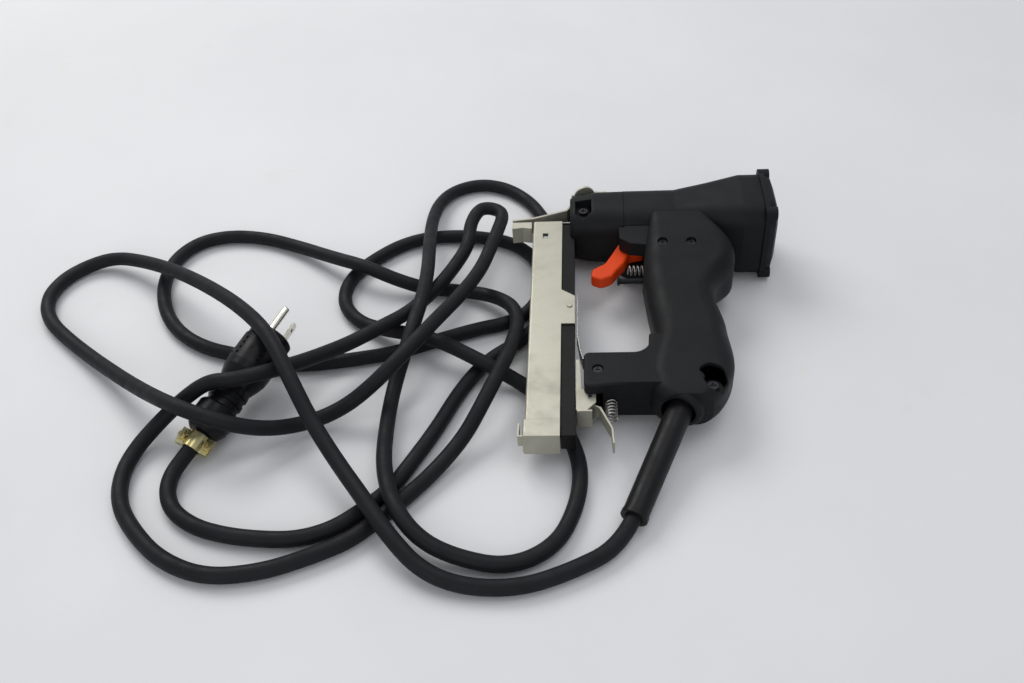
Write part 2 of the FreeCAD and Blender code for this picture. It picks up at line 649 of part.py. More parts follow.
ROUTE = [
    # out of the boot, down to the table and along its front
    (-13.9, -138.7, 9.7), (-23.4, -161.4, 5.2), (-53, -180, 5), (-81, -192, 5), (-112, -193, 5),
    (-137, -186, 9), (-157, -168, 16), (-175, -144, 19), (-194, -120, 22),
    # up over the plug and down its far side
    (-213, -96, 31), (-229, -73, 45), (-248, -41, 52), (-274, -12, 49), (-309, 23, 37),
    (-344, 54, 24), (-374, 74, 15),
    # the far left bend
    (-401, 85, 9), (-421, 79, 5), (-434, 62, 5), (-438, 40, 5), (-428, 16, 5), (-403, -6, 5),
    (-372, -31, 9),
    # back over the outer loop and the clamp
    (-335, -62, 20), (-301, -90, 35), (-275, -100, 35), (-255, -97, 24), (-237, -88, 14),
    (-217, -75, 8),
    # up through the middle on top of the heap
    (-198, -67, 14), (-182, -59, 25), (-167, -46, 35), (-155, -29, 39), (-144, -5, 37),
    (-131, 24, 33), (-119, 56, 30), (-113, 84, 30),
    # the tight fold in front of the nose
    (-109, 105, 30), (-106, 123, 30), (-110, 130, 30), (-119, 133, 30), (-126, 129, 30),
    (-131, 112, 28),
    # back down towards the plug
    (-130, 93, 25), (-140, 68, 21), (-152, 43, 20), (-167, 15, 23), (-185, -1, 23), (-203, -15, 21),
    (-221, -35, 27), (-236, -52, 34),
    # over the plug's neck and down
    (-252, -64, 38), (-266, -71, 39), (-283, -70, 36), (-300, -75, 24), (-315, -84, 12),
    (-326, -101, 6), (-329, -122, 5),
    # the wide loop at the front left
    (-323, -145, 5), (-307, -165, 5), (-286, -183, 5), (-258, -193, 5), (-227, -188, 5),
    (-203, -177, 5), (-183, -166, 5), (-169, -152, 5), (-154, -134, 5),
    # up across the middle
    (-136, -111, 6), (-120, -87, 11), (-110, -68, 21), (-100, -44, 28), (-93, -11, 22),
    (-90, 17, 17), (-95, 35, 16), (-111, 52, 10),
    # the second loop at the left
    (-135, 62, 5), (-161, 62, 6), (-184, 64, 13), (-207, 71, 19), (-233, 87, 13), (-264, 108, 6),
    (-295, 120, 5), (-324, 121, 5), (-347, 110, 5), (-359, 83, 5), (-355, 47, 5), (-338, 14, 5),
    # under the plug and back to the right
    (-311, -7, 5), (-278, -15, 5), (-242, -23, 5), (-208, -16, 5), (-175, -7, 5), (-145, 8, 5),
    (-118, 21, 5),
    # round below the magazine
    (-99, 27, 5), (-85, 38, 5), (-77, 54, 5), (-75, 75, 5), (-78, 97, 5), (-90, 115, 5),
    (-109, 126, 5),
    # to the left again and back
    (-145, 130, 5), (-180, 121, 5), (-207, 93, 5), (-220, 68, 5), (-219, 42, 5),
    # over two strands, then down to the magazine
    (-204, 23, 5), (-183, 12, 9), (-162, 1, 16), (-141, -9, 19), (-113, -24, 16), (-96, -29, 9),
    (-78, -39, 5),
    # round on the near side of the magazine
    (-63, -59, 5), (-52, -82, 5), (-46, -108, 5), (-50, -137, 5), (-66, -160, 5), (-91, -174, 5),
    (-118, -175, 7), (-140, -167, 12),
    # up over the heap, away from the handle
    (-156, -150, 18), (-167, -119, 16), (-171, -77, 8), (-170, -46, 11), (-165, -25, 22),
    (-161, -4, 29), (-157, 20, 33), (-157, 57, 29), (-161, 101, 21), (-163, 141, 13),
    # round by the nose and under the magazine
    (-160, 172, 7), (-149, 192, 5), (-128, 202, 5), (-105, 196, 5), (-86, 177, 5), (-75, 155, 5),
    (-64, 129, 5), (-62, 97, 5), (-63, 64, 5), (-72, 33, 5),
    # down to the front again
    (-88, 9, 5), (-112, -13, 5), (-127, -42, 5), (-139, -76, 5), (-152, -105, 5), (-162, -126, 5),
    (-177, -143, 5), (-192, -157, 5),
    # round to the plug
    (-211, -165, 5), (-232, -166, 5), (-255, -164, 5), (-276, -158, 5), (-293, -145, 5),
    (-299, -125, 6), (-291, -105, 9), (-284, -90, 13),
]


def cord_tube():
    """Straight runs joined by tangent arcs, each as wide as its shorter run allows."""
    points = [V(*p) for p in ROUTE]
    edges, at, tightest = [], points[0], []
    for before, here, after in zip(points, points[1:], points[2:]):
        back, on = before - here, after - here
        cut = ARC_SHARE * min(back.Length, on.Length)
        half_turn = (math.pi - back.getAngle(on)) / 2
        tightest.append((round(cut / math.tan(half_turn), 1), tuple(here)))
        back.normalize()
        on.normalize()
        first, last = here + back * cut, here + on * cut
        inward = (back + on).normalize()
        radius = cut / math.tan(half_turn)
        centre = here + inward * (radius / math.cos(half_turn))
        edges.append(Part.LineSegment(at, first).toShape())
        edges.append(Part.Arc(first, centre - inward * radius, last).toShape())
        at = last
    edges.append(Part.LineSegment(at, points[-1]).toShape())
    line = Part.Wire(edges)
    print("tightest bends", sorted(tightest)[:8])
    profile = Part.Wire([Part.makeCircle(CORD_R, points[0], points[1] - points[0])])
    tube = line.makePipeShell([profile], True, False)
    ideal = math.pi * CORD_R ** 2 * line.Length
    print("cord length", round(line.Length), "volume over ideal", round(tube.Volume / ideal, 4))
    return tube


def plug_placement():
    """Local Z runs from the clamp to the prongs, and local Y points up."""
    yaw, pitch = math.radians(PLUG_YAW), math.radians(PLUG_PITCH)
    way = V(math.sin(yaw) * math.cos(pitch), math.cos(yaw) * math.cos(pitch), math.sin(pitch))
    side = way.cross(V(0, 0, 1)).normalize()
    up = side.cross(way)
    turn = FreeCAD.Rotation(-side, up, way, "ZXY")
    turn = turn.multiply(FreeCAD.Rotation(V(0, 0, 1), PLUG_ROLL))
    return FreeCAD.Placement(V(*ROUTE[-2]), turn)


def turned(profile):
    """A solid of revolution about Z from (z, r) pairs."""
    outline = [V(0, 0, profile[0][0])] + [V(r, 0, z) for z, r in profile] + [V(0, 0, profile[-1][0])]
    return Part.Face(Part.makePolygon(outline + outline[:1])).revolve(V(0, 0, 0), V(0, 0, 1), 360)


def plug_body():
    r = PLUG_BODY_R
    profile = [(14, 9.2), (16, 11.2), (20, 13.2), (24, 13.6), (32, 13.6), (33.4, 12.8), (33.6, 11.0), (38, 10.8),
               (38.2, 11.8), (41, 11.8), (41.2, 10.8), (45, 10.8), (45.2, 11.8), (48, 11.6), (50, 11.2),
               (56, 13.6), (61, r - 0.4), (66, r), (PLUG_LENGTH - 8, r), (PLUG_LENGTH - 7.6, r - 0.8),
               (PLUG_LENGTH - 1.2, r - 0.8), (PLUG_LENGTH, r - 2.0)]
    solid = turned(profile)
    solid = solid.cut(rod((0, 0, 10), (0, 0, 20), CORD_R + 0.1))
    for z in range(68, 84, 4):
        for a in range(-60, 61, 24):
            rib = box((-1.0, 1.0), (r - 0.8, r + 2), (z, z + 1.6))
            for side in (0, 180):
                cut = rib.copy()
                cut.rotate(V(0, 0, 0), V(0, 0, 1), a + 90 + side)
                solid = solid.cut(cut)
    for x in (-BLADE_GAP / 2, BLADE_GAP / 2):
        solid = solid.cut(box((x - 0.75, x + 0.75), (-7.15, -0.85), (PLUG_LENGTH - 12, PLUG_LENGTH + 1)))
    return solid.cut(rod((0, 7.9, PLUG_LENGTH - 12), (0, 7.9, PLUG_LENGTH + 1), GROUND_R))


def plug_blades():
    blades = []
    for x in (-BLADE_GAP / 2, BLADE_GAP / 2):
        outline = [(-7.15, PLUG_LENGTH - 12), (-0.85, PLUG_LENGTH - 12), (-0.85, PLUG_LENGTH + PRONG_LENGTH - 1.5),
                   (-2.4, PLUG_LENGTH + PRONG_LENGTH), (-5.6, PLUG_LENGTH + PRONG_LENGTH),
                   (-7.15, PLUG_LENGTH + PRONG_LENGTH - 1.5)]
        face = Part.Face(Part.makePolygon([V(x - 0.75, y, z) for y, z in outline + outline[:1]]))
        blade = face.extrude(V(1.5, 0, 0))
        hole = rod((x - 2, -4, PLUG_LENGTH + PRONG_LENGTH - 5.5), (x + 2, -4, PLUG_LENGTH + PRONG_LENGTH - 5.5), 1.5)
        blades.append(blade.cut(hole))
    return blades


def ground_pin():
    top = PLUG_LENGTH + PRONG_LENGTH + 3
    pin = rod((0, 7.9, PLUG_LENGTH - 12), (0, 7.9, top), GROUND_R)
    return fillet(pin, 1.4, lambda e: abs(e.CenterOfMass.z - top) < 0.01)


def plug_clamp():
    """Two formed halves that grip the cord behind the plug, with flat ears left and right."""
    halves = []
    for side in (-1, 1):
        saddle = rod((0, 0, 1.5), (0, 0, 12.5), CORD_R + 1.5).cut(rod((0, 0, 0), (0, 0, 14), CORD_R + 0.3))
        ears = fuse(*[box(sorted((a * 5.6, a * 11.5)), sorted((side * 0.5, side * 1.9)), (1.5, 12.5)) for a in (-1, 1)])
        half = saddle.common(box((-20, 20), sorted((side * 0.5, side * 20)), (0, 14))).fuse(ears).removeSplitter()
        for a in (-1, 1):
            half = half.cut(rod((a * 9, -5, 7), (a * 9, 5, 7), 1.55))
        halves.append(half)
    return halves


def plug_clamp_screws():
    return [screw((a * 9, 3.6, 7), (0, -1, 0), 6.0, r=1.5, head_r=2.7, head_h=1.6) for a in (-1, 1)]


PLUG = {
    "plug_body": plug_body,
    "plug_blades": plug_blades,
    "ground_pin": ground_pin,
    "plug_clamp": plug_clamp,
    "plug_clamp_screws": plug_clamp_screws,
}


TOOL = {
    "main_housing": main_housing,
    "front_barrel": front_barrel,
    "end_cap": end_cap,
    "end_cap_screws": end_cap_screws,
    "handle_shell_upper": lambda: handle_shell(1),
    "handle_shell_lower": lambda: handle_shell(-1),
    "handle_screws": handle_screws,
    "trigger": trigger,
    "trigger_pin": trigger_pin,
    "trigger_spring": trigger_spring,
    "switch_body": switch_body,
    "switch_plunger": switch_plunger,
    "control_board": control_board,
    "solenoid_yoke": yoke,
    "yoke_plate": yoke_plate,
    "coil_bobbin": coil_bobbin,
    "coil_winding": coil_winding,
    "plunger": plunger,
    "driver_blade": driver_blade,
    "return_spring": return_spring,
    "bumper": bumper,
    "nose_plate": nose_plate,
    "nose_guide": nose_guide,
    "nose_screws": nose_screws,
    "barrel_screws": barrel_screws,
    "magazine_sleeve": magazine_sleeve,
    "magazine_rail": magazine_rail,
    "rail_screws": rail_screws,
    "staple_track": staple_track,
    "staple_strip": staple_strip,
    "pusher": pusher,
    "pusher_spring": pusher_spring,
    "magazine_end_cap": magazine_end_cap,
    "magazine_rivets": magazine_rivets,
    "leaf_spring": leaf_spring,
    "latch_bracket": latch_bracket,
    "release_lever": release_lever,
    "lever_pin": lever_pin,
    "latch_spring": latch_spring,
    "strain_relief": strain_relief,
    "cord_gland": cord_gland,
}


def compound(shape):
    return Part.makeCompound(shape) if isinstance(shape, list) else shape


def rest(shapes):
    """The placement that lays the tool down, with the origin at the bottom centre of its box."""
    turn = FreeCAD.Rotation(V(1, 0, 0), REST_TILT).multiply(FreeCAD.Rotation(V(0, 1, 0), -REST_ROLL))
    laid = FreeCAD.Placement(V(0, 0, 0), turn)
    whole = FreeCAD.BoundBox()
    for shape in shapes:
        copy = shape.copy()
        copy.Placement = laid.multiply(copy.Placement)
        whole.add(copy.optimalBoundingBox(False))
    return FreeCAD.Placement(V(-whole.Center.x, -whole.Center.y, -whole.ZMin), turn)


def main():
    os.makedirs("parts", exist_ok=True)
    tool = {name: compound(make()) for name, make in TOOL.items()}
    laid = rest(tool.values())
    print("tool lies at", laid)
    start, way = boot_frame()
    end = laid.multVec(start + way * (BOOT_LENGTH - BOOT_INSIDE - BOOT_MOUTH))
    print("cord leaves at", end, "towards", laid.Rotation.multVec(way))
    for shape in tool.values():
        shape.Placement = laid.multiply(shape.Placement)
    plug = {name: compound(make()) for name, make in PLUG.items()}
    for shape in plug.values():
        shape.Placement = plug_placement().multiply(shape.Placement)
    for name, shape in {**tool, **plug, "power_cord": cord_tube()}.items():
        print(f"{name}: {len(shape.Solids)} solids, valid {shape.isValid()}, {shape.Volume / 1000:.2f} cm3")
        shape.exportStep(f"parts/{name}.step")


if __name__ == "__main__":
    main()
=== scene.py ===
import bpy
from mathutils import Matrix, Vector


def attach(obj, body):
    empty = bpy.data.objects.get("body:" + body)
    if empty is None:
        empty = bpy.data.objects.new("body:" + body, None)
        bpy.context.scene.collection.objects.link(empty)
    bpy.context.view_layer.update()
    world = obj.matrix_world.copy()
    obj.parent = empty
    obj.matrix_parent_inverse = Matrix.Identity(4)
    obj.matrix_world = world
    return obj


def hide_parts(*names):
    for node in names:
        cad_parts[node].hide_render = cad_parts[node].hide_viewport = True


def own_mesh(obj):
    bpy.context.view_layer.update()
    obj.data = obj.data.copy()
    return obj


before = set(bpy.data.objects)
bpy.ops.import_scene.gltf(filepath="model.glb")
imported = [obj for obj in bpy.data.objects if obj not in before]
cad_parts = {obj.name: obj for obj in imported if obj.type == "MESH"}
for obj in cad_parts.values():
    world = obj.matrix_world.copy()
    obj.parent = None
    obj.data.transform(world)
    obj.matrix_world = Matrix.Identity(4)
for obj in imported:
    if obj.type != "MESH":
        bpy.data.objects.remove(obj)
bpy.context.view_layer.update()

# The cord's route, in metres, from the strain relief to the plug. Its points are the CAD route's, but for the
# last two on the near side of the magazine, which lie further out, away from where the end cap slides.
ROUTE = [
    # out of the boot, down to the table and along its front
    (-0.0139, -0.1387, 0.0097), (-0.0234, -0.1614, 0.0052), (-0.053, -0.18, 0.005),
    (-0.081, -0.192, 0.005), (-0.112, -0.193, 0.005), (-0.137, -0.186, 0.009),
    (-0.157, -0.168, 0.016), (-0.175, -0.144, 0.019), (-0.194, -0.12, 0.022),
    # up over the plug and down its far side
    (-0.213, -0.096, 0.031), (-0.229, -0.073, 0.045), (-0.248, -0.041, 0.052),
    (-0.274, -0.012, 0.049), (-0.309, 0.023, 0.037), (-0.344, 0.054, 0.024),
    (-0.374, 0.074, 0.015),
    # the far left bend
    (-0.401, 0.085, 0.009), (-0.421, 0.079, 0.005), (-0.434, 0.062, 0.005), (-0.438, 0.04, 0.005),
    (-0.428, 0.016, 0.005), (-0.403, -0.006, 0.005), (-0.372, -0.031, 0.009),
    # back over the outer loop and the clamp
    (-0.335, -0.062, 0.02), (-0.301, -0.09, 0.035), (-0.275, -0.1, 0.035), (-0.255, -0.097, 0.024),
    (-0.237, -0.088, 0.014), (-0.217, -0.075, 0.008),
    # up through the middle on top of the heap
    (-0.198, -0.067, 0.014), (-0.182, -0.059, 0.025), (-0.167, -0.046, 0.035),
    (-0.155, -0.029, 0.039), (-0.144, -0.005, 0.037), (-0.131, 0.024, 0.033),
    (-0.119, 0.056, 0.03), (-0.113, 0.084, 0.03),
    # the tight fold in front of the nose
    (-0.109, 0.105, 0.03), (-0.106, 0.123, 0.03), (-0.11, 0.13, 0.03), (-0.119, 0.133, 0.03),
    (-0.126, 0.129, 0.03), (-0.131, 0.112, 0.028),
    # back down towards the plug
    (-0.13, 0.093, 0.025), (-0.14, 0.068, 0.021), (-0.152, 0.043, 0.02), (-0.167, 0.015, 0.023),
    (-0.185, -0.001, 0.023), (-0.203, -0.015, 0.021), (-0.221, -0.035, 0.027),
    (-0.236, -0.052, 0.034),
    # over the plug's neck and down
    (-0.252, -0.064, 0.038), (-0.266, -0.071, 0.039), (-0.283, -0.07, 0.036),
    (-0.3, -0.075, 0.024), (-0.315, -0.084, 0.012), (-0.326, -0.101, 0.006),
    (-0.329, -0.122, 0.005),
    # the wide loop at the front left
    (-0.323, -0.145, 0.005), (-0.307, -0.165, 0.005), (-0.286, -0.183, 0.005),
    (-0.258, -0.193, 0.005), (-0.227, -0.188, 0.005), (-0.203, -0.177, 0.005),
    (-0.183, -0.166, 0.005), (-0.169, -0.152, 0.005), (-0.154, -0.134, 0.005),
    # up across the middle
    (-0.136, -0.111, 0.006), (-0.12, -0.087, 0.011), (-0.11, -0.068, 0.021), (-0.1, -0.044, 0.028),
    (-0.093, -0.011, 0.022), (-0.09, 0.017, 0.017), (-0.095, 0.035, 0.016), (-0.111, 0.052, 0.01),
    # the second loop at the left
    (-0.135, 0.062, 0.005), (-0.161, 0.062, 0.006), (-0.184, 0.064, 0.013), (-0.207, 0.071, 0.019),
    (-0.233, 0.087, 0.013), (-0.264, 0.108, 0.006), (-0.295, 0.12, 0.005), (-0.324, 0.121, 0.005),
    (-0.347, 0.11, 0.005), (-0.359, 0.083, 0.005), (-0.355, 0.047, 0.005), (-0.338, 0.014, 0.005),
    # under the plug and back to the right
    (-0.311, -0.007, 0.005), (-0.278, -0.015, 0.005), (-0.242, -0.023, 0.005),
    (-0.208, -0.016, 0.005), (-0.175, -0.007, 0.005), (-0.145, 0.008, 0.005),
    (-0.118, 0.021, 0.005),
    # round below the magazine
    (-0.099, 0.027, 0.005), (-0.085, 0.038, 0.005), (-0.077, 0.054, 0.005), (-0.075, 0.075, 0.005),
    (-0.078, 0.097, 0.005), (-0.09, 0.115, 0.005), (-0.109, 0.126, 0.005),
    # to the left again and back
    (-0.145, 0.13, 0.005), (-0.18, 0.121, 0.005), (-0.207, 0.093, 0.005), (-0.22, 0.068, 0.005),
    (-0.219, 0.042, 0.005),
    # over two strands, then down to the magazine
    (-0.204, 0.023, 0.005), (-0.183, 0.012, 0.009), (-0.162, 0.001, 0.016),
    (-0.141, -0.009, 0.019), (-0.113, -0.024, 0.016), (-0.096, -0.029, 0.009),
    (-0.078, -0.039, 0.005),
    # round on the near side of the magazine
    (-0.063, -0.059, 0.005), (-0.052, -0.082, 0.005), (-0.046, -0.108, 0.005),
    (-0.05, -0.137, 0.005), (-0.062, -0.164, 0.005), (-0.088, -0.179, 0.005),
    (-0.118, -0.175, 0.007), (-0.14, -0.167, 0.012),
    # up over the heap, away from the handle
    (-0.156, -0.15, 0.018), (-0.167, -0.119, 0.016), (-0.171, -0.077, 0.008),
    (-0.17, -0.046, 0.011), (-0.165, -0.025, 0.022), (-0.161, -0.004, 0.029),
    (-0.157, 0.02, 0.033), (-0.157, 0.057, 0.029), (-0.161, 0.101, 0.021), (-0.163, 0.141, 0.013),
    # round by the nose and under the magazine
    (-0.16, 0.172, 0.007), (-0.149, 0.192, 0.005), (-0.128, 0.202, 0.005), (-0.105, 0.196, 0.005),
    (-0.086, 0.177, 0.005), (-0.075, 0.155, 0.005), (-0.064, 0.129, 0.005), (-0.062, 0.097, 0.005),
    (-0.063, 0.064, 0.005), (-0.072, 0.033, 0.005),
    # down to the front again
    (-0.088, 0.009, 0.005), (-0.112, -0.013, 0.005), (-0.127, -0.042, 0.005),
    (-0.139, -0.076, 0.005), (-0.152, -0.105, 0.005), (-0.162, -0.126, 0.005),
    (-0.177, -0.143, 0.005), (-0.192, -0.157, 0.005),
    # round to the plug
    (-0.211, -0.165, 0.005), (-0.232, -0.166, 0.005), (-0.255, -0.164, 0.005),
    (-0.276, -0.158, 0.005), (-0.293, -0.145, 0.005), (-0.299, -0.125, 0.006),
    (-0.291, -0.105, 0.009), (-0.284, -0.09, 0.013),
]

CORD_DIAMETER = 0.010
CORD_ROUND_STEPS = 7
CORD_LENGTH_STEPS = 8

PLASTIC_SPECULAR = 0.13
RUBBER_SPECULAR = 0.15
GLOSSY_SPECULAR = 0.22
TABLE_SPECULAR = 0.3
BEVEL_SAMPLES = 4
EDGE_RADIUS = 0.0007
EDGE_LOW, EDGE_HIGH = 0.02, 0.25
METAL_EDGE = 0.0004

TABLE_SIZE = 6
TABLE_DROP = 0.0004
WORLD_COLOUR = (0.93, 0.96, 1.0, 1)
WORLD_STRENGTH = 0.52

CAMERA_PLACE = (-0.0719, -0.5048, 0.484)
CAMERA_LOOK = (-0.0319, 0.7307, -0.6820)
CAMERA_LENS = 35.16
CAMERA_SENSOR = 36.0
CAMERA_NEAREST = 0.01


# Materials.

class Shader:
    """A node material with a Principled shader, built up by small steps."""

    def __init__(self, name, roughness=0.5, metallic=0.0, **fixed):
        self.mat = bpy.data.materials.new(name)
        self.mat.use_nodes = True
        self.tree = self.mat.node_tree
        self.shader = self.tree.nodes["Principled BSDF"]
        self.shader.inputs["Roughness"].default_value = roughness
        self.shader.inputs["Metallic"].default_value = metallic
        for key, value in fixed.items():
            self.shader.inputs[key.replace("_", " ")].default_value = value
        self.coords = self.node("ShaderNodeTexCoord").outputs["Object"]

    def node(self, kind, **values):
        node = self.tree.nodes.new(kind)
        for key, value in values.items():
            setattr(node, key, value)
        return node

    def link(self, out, into):
        self.tree.links.new(out, into)

    def stretched(self, scale, turn=(0, 0, 0)):
        mapping = self.node("ShaderNodeMapping")
        mapping.inputs["Scale"].default_value = scale
        mapping.inputs["Rotation"].default_value = turn
        self.link(self.coords, mapping.inputs["Vector"])
        return mapping.outputs["Vector"]

    def noise(self, scale, detail=4.0, rough=0.55, coords=None, distort=0.0):
        noise = self.node("ShaderNodeTexNoise")
        noise.inputs["Scale"].default_value = scale
        noise.inputs["Detail"].default_value = detail
        noise.inputs["Roughness"].default_value = rough
        noise.inputs["Distortion"].default_value = distort
        self.link(coords or self.coords, noise.inputs["Vector"])
        return noise.outputs["Fac"]

    def ramp(self, factor, *stops):
        """stops are (position, grey or colour)."""
        ramp = self.node("ShaderNodeValToRGB")
        elements = ramp.color_ramp.elements
        while len(elements) < len(stops):
            elements.new(0.5)
        for element, (at, value) in zip(elements, stops):
            element.position = at
            element.color = (*value, 1) if isinstance(value, tuple) else (value, value, value, 1)
        self.link(factor, ramp.inputs["Fac"])
        return ramp.outputs["Color"]

    def mix(self, factor, a, b, blend="MIX"):
        """factor, a and b are sockets or plain values."""
        mix = self.node("ShaderNodeMix", data_type="RGBA", blend_type=blend)
        for socket, value in ((mix.inputs[0], factor), (mix.inputs[6], a), (mix.inputs[7], b)):
            if hasattr(value, "links"):
                self.link(value, socket)
            elif isinstance(value, tuple):
                socket.default_value = (*value, 1)
            else:
                socket.default_value = value
        return mix.outputs[2]

    def edges(self, radius=EDGE_RADIUS):
        """A mask that is 1 along outside and inside edges."""
        bevel = self.node("ShaderNodeBevel", samples=BEVEL_SAMPLES)
        bevel.inputs["Radius"].default_value = radius
        geometry = self.node("ShaderNodeNewGeometry")
        dot = self.node("ShaderNodeVectorMath", operation="DOT_PRODUCT")
        self.link(bevel.outputs["Normal"], dot.inputs[0])
        self.link(geometry.outputs["Normal"], dot.inputs[1])
        return self.ramp(dot.outputs["Value"], (1 - EDGE_HIGH, 1.0), (1 - EDGE_LOW, 0.0))

    def color(self, out):
        self.link(out, self.shader.inputs["Base Color"])

    def rough(self, out):
        self.link(out, self.shader.inputs["Roughness"])

    def bump(self, height, distance, strength=1.0, soften=0.0006):
        """Rounds the sharp edges by soften, and raises the surface by height."""
        bump = self.node("ShaderNodeBump")
        bump.inputs["Strength"].default_value = strength
        bump.inputs["Distance"].default_value = distance
        self.link(height, bump.inputs["Height"])
        if soften:
            bevel = self.node("ShaderNodeBevel", samples=BEVEL_SAMPLES)
            bevel.inputs["Radius"].default_value = soften
            self.link(bevel.outputs["Normal"], bump.inputs["Normal"])
        self.link(bump.outputs["Normal"], self.shader.inputs["Normal"])


def moulding(name, dark, light, roughness, grain=0.00006, soften=0.0009):
    """Moulded plastic with a fine spark-eroded grain, handling marks and paler rubbed edges."""
    s = Shader(name, roughness, Specular_IOR_Level=PLASTIC_SPECULAR)
    cloud = s.ramp(s.noise(28, 5, 0.6), (0.35, 0.0), (0.7, 1.0))
    streaks = s.noise(160, 6, 0.7, s.stretched((1, 0.35, 1), (0, 0, 0.6)))
    rubbed = s.ramp(streaks, (0.60, 0.0), (0.74, 0.35))
    base = s.mix(cloud, dark, light)
    pale = tuple(min(1.0, c * 1.7 + 0.006) for c in light)
    worn = s.mix(rubbed, base, pale)
    s.color(s.mix(s.mix(s.noise(90, 3), (0, 0, 0), s.edges(), "MULTIPLY"), worn, pale))
    s.rough(s.ramp(s.noise(60, 5), (0.3, roughness - 0.08), (0.75, roughness + 0.1)))
    s.bump(s.noise(2600, 2, 0.6), grain, 0.7, soften)
    return s.mat


def metal(name, colour, roughness, along=(1, 1, 1), tint=None, marks=0.35, metallic=1.0):
    """Plated sheet or turned metal: fine drawn lines, smudges and a duller bloom in places."""
    s = Shader(name, roughness, metallic)
    lines = s.noise(420, 3, 0.6, s.stretched(along))
    bloom = s.ramp(s.noise(55, 6, 0.65), (0.42, 0.0), (0.72, 1.0))
    dull = tint or tuple(c * 0.72 for c in colour)
    base = s.mix(bloom, colour, dull)
    scratches = s.noise(300, 2, 0.5, s.stretched((0.08, 1.0, 0.4), (0.2, 0.1, 0.9)))
    scratch = s.ramp(scratches, (0.68, 0.0), (0.73, marks))
    s.color(s.mix(scratch, base, tuple(min(1.0, c * 1.25) for c in colour)))
    uneven = s.mix(0.5, lines, bloom)
    s.rough(s.ramp(uneven, (0.25, max(0.08, roughness - 0.09)), (0.8, roughness + 0.16)))
    s.bump(lines, 0.00002, 0.5, METAL_EDGE)
    return s.mat


def rubber(name, dark, light, roughness, dust=0.5):
    """Matte black rubber: chalky bloom, fine scuffs along the lie and a slight unevenness."""
    s = Shader(name, roughness, Specular_IOR_Level=RUBBER_SPECULAR)
    bloom = s.ramp(s.noise(34, 6, 0.62), (0.38, 0.0), (0.78, dust))
    base = s.mix(bloom, dark, light)
    fleck = s.ramp(s.noise(900, 3, 0.75), (0.70, 0.0), (0.76, 0.55))
    rubs = s.noise(240, 5, 0.8, s.stretched((0.5, 1, 1), (0, 0, 0.5)), 0.6)
    scuff = s.ramp(rubs, (0.66, 0.0), (0.73, 0.45))
    pale = tuple(c * 2.6 + 0.015 for c in light)
    s.color(s.mix(fleck, s.mix(scuff, base, pale), pale))
    s.rough(s.ramp(s.noise(120, 4), (0.3, roughness - 0.12), (0.75, roughness + 0.12)))
    s.bump(s.noise(700, 4, 0.6), 0.00008, 0.6, 0.0)
    return s.mat


def glossy(name, colour, shade, roughness):
    """Smooth coloured plastic with fingerprints and a few fine scratches."""
    s = Shader(name, roughness, Specular_IOR_Level=GLOSSY_SPECULAR)
    cloud = s.ramp(s.noise(45, 4), (0.35, 0.0), (0.75, 0.55))
    rim = s.mix(s.noise(140, 3), (0, 0, 0), s.edges(0.0009), "MULTIPLY")
    s.color(s.mix(rim, s.mix(cloud, colour, shade), tuple(min(1.0, c * 1.2 + 0.03) for c in colour)))
    s.rough(s.ramp(s.noise(85, 5, 0.65), (0.3, roughness - 0.06), (0.75, roughness + 0.14)))
    s.bump(s.noise(1500, 2), 0.00003, 0.5, 0.0012)
    return s.mat


def board():
    s = Shader("circuit_board", 0.4, Coat_Weight=0.3)
    tracks = s.ramp(s.noise(300, 1, 0.4, s.stretched((1, 0.15, 1))), (0.50, 0.0), (0.53, 1.0))
    s.color(s.mix(tracks, (0.012, 0.10, 0.035), (0.02, 0.17, 0.06)))
    s.bump(tracks, 0.00003)
    return s.mat


def winding():
    s = Shader("copper_wire", 0.3, 1.0)
    wave = s.node("ShaderNodeTexWave", wave_type="BANDS", bands_direction="X")
    wave.inputs["Scale"].default_value = 320
    s.link(s.coords, wave.inputs["Vector"])
    s.color(s.mix(wave.outputs["Fac"], (0.34, 0.11, 0.04), (0.72, 0.30, 0.12)))
    s.bump(wave.outputs["Fac"], 0.0003, 1.0, 0.0)
    return s.mat


BLACK = moulding("moulded_black", (0.0078, 0.0082, 0.0090), (0.0120, 0.0126, 0.0136), 0.52)
RAIL = moulding("blackened_bar", (0.0050, 0.0050, 0.0055), (0.0085, 0.0085, 0.0090), 0.38, 0.00003, 0.0005)
NICKEL = metal("nickel_sheet", (0.420, 0.408, 0.340), 0.50, (0.15, 1, 1),
               tint=(0.390, 0.378, 0.310), marks=0.10, metallic=0.62)
ZINC = metal("zinc_bar", (0.55, 0.545, 0.525), 0.34, (1, 0.15, 1))
SCREW = metal("black_oxide", (0.05, 0.05, 0.055), 0.42, marks=0.6)
SPRING = metal("spring_wire", (0.42, 0.41, 0.385), 0.33, (1, 1, 1))
GROUND = metal("ground_steel", (0.50, 0.50, 0.50), 0.26, (1, 0.1, 1))
STAPLE = metal("staple_wire", (0.62, 0.62, 0.62), 0.28, (1, 1, 0.2))
PRONG = metal("prong_plate", (0.66, 0.64, 0.57), 0.27, (1, 0.2, 1))
YELLOW = metal("yellow_zinc", (0.66, 0.56, 0.26), 0.30, tint=(0.50, 0.50, 0.34))
ORANGE = glossy("moulded_orange", (0.66, 0.052, 0.003), (0.54, 0.036, 0.002), 0.44)
INNER = moulding("inner_moulding", (0.10, 0.10, 0.10), (0.14, 0.14, 0.14), 0.45)
RUBBER = rubber("cord_rubber", (0.0095, 0.0098, 0.0115), (0.0165, 0.0172, 0.0195), 0.56)
BOOT = rubber("boot_rubber", (0.0085, 0.0085, 0.0092), (0.014, 0.014, 0.015), 0.42, 0.3)
PLUG = rubber("plug_rubber", (0.0070, 0.0070, 0.0080), (0.012, 0.012, 0.013), 0.34, 0.35)

